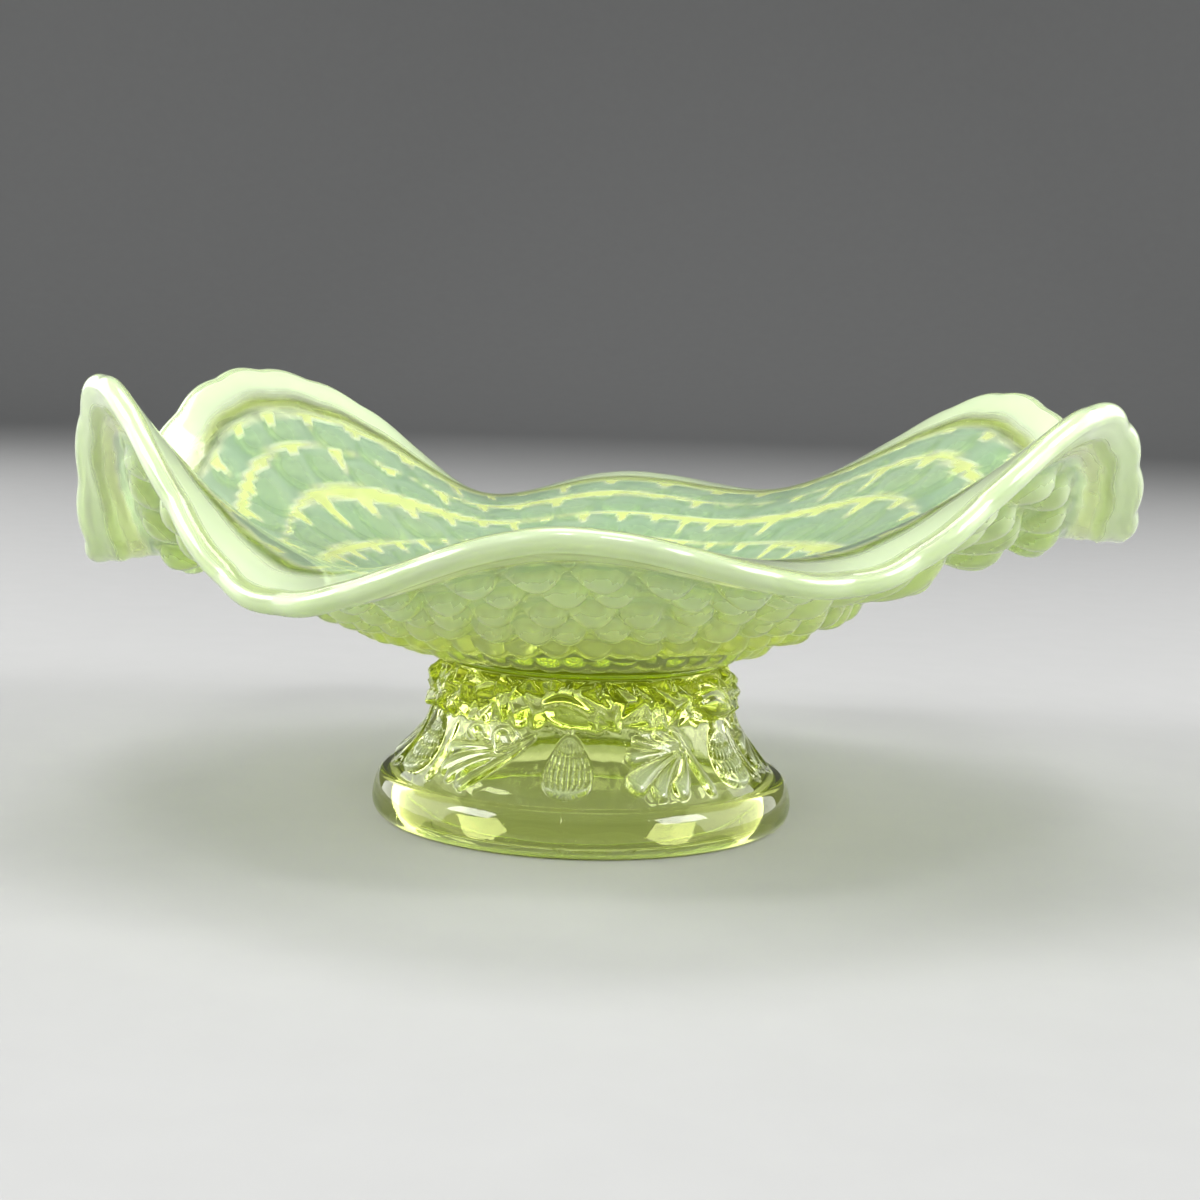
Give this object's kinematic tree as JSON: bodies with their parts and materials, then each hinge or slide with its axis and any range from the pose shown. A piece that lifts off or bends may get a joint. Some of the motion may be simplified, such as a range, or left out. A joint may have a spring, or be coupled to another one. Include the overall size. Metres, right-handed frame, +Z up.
{
  "type": "footed glass dish",
  "caption": "Footed uranium glass dish: a ruffled opalescent bowl with bosses outside, joined by a glass wafer to a hollow spreading foot moulded with shells.",
  "frame": {"origin": "on the table, under the middle of the dish's bounding box; the foot's own axis stands a few millimetres towards -X of it, because the ruffled bowl leans", "axes": "+Z up out of the bowl; X runs through the two low ends of the rim, from the left end to the right end; -Y is the front, where a low crest stands between two tall ones"},
  "size_m": [0.242, 0.2472, 0.1025],
  "materials": {
    "uranium_glass": "clear yellow-green glass, fire-polished, with a pressed relief",
    "wafer_glass": "clear chartreuse glass, fire-polished",
    "opal_glass": "yellow-green glass that turns milky towards the rim and on the boss tips, fire-polished"
  },
  "bodies": {
    "root": {"foot": "uranium_glass", "joining_wafer": "wafer_glass", "bowl": "opal_glass"}
  },
  "joints": []
}
